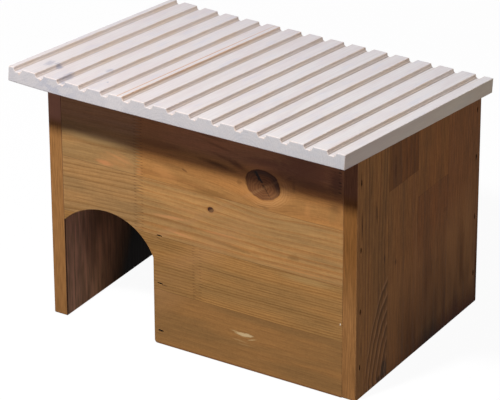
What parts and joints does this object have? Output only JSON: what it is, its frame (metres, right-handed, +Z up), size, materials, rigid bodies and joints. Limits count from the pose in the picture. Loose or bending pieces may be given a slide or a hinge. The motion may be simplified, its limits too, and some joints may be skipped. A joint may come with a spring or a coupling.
{
  "type": "hedgehog house",
  "caption": "Floorless pine box with an arched doorway, an inner partition and a grooved white-glazed lid that slopes to the back and opens on rear hinges.",
  "frame": {"origin": "middle of the ground under the whole house, lid and hinges included", "axes": "+X to the right seen from the front, +Y from the doorway to the back, +Z up"},
  "size_m": [0.447, 0.349, 0.3399],
  "materials": {
    "side_pine": "brown-glazed pine, grain upright",
    "front_pine": "honey-glazed pine, grain level",
    "white_pine": "whitewashed pine, matt",
    "zinc_steel": "zinc-plated, satin",
    "staple_wire": "dull steel wire, darkened by the glaze"
  },
  "bodies": {
    "house": {"side_left": "side_pine", "side_right": "side_pine", "front_wall": "front_pine", "back_wall": "front_pine", "partition": "front_pine", "staples_left_front": "staple_wire", "staples_left_back": "staple_wire", "staples_right_front": "staple_wire", "staples_right_back": "staple_wire", "staples_partition": "staple_wire", "hinge_left_wall_leaf": "zinc_steel", "hinge_left_pin": "zinc_steel", "hinge_left_wall_screws": "zinc_steel", "hinge_right_wall_leaf": "zinc_steel", "hinge_right_pin": "zinc_steel", "hinge_right_wall_screws": "zinc_steel"},
    "lid": {"lid_panel": "white_pine", "hinge_left_lid_leaf": "zinc_steel", "hinge_left_lid_screws": "zinc_steel", "hinge_right_lid_leaf": "zinc_steel", "hinge_right_lid_screws": "zinc_steel"}
  },
  "joints": [
    {"name": "lid_hinge", "type": "hinge", "parent": "house", "child": "lid", "pos_m": [0.00125, 0.17183, 0.27833], "axis": [-1, 0, 0], "range_deg": [0, 173]}
  ]
}
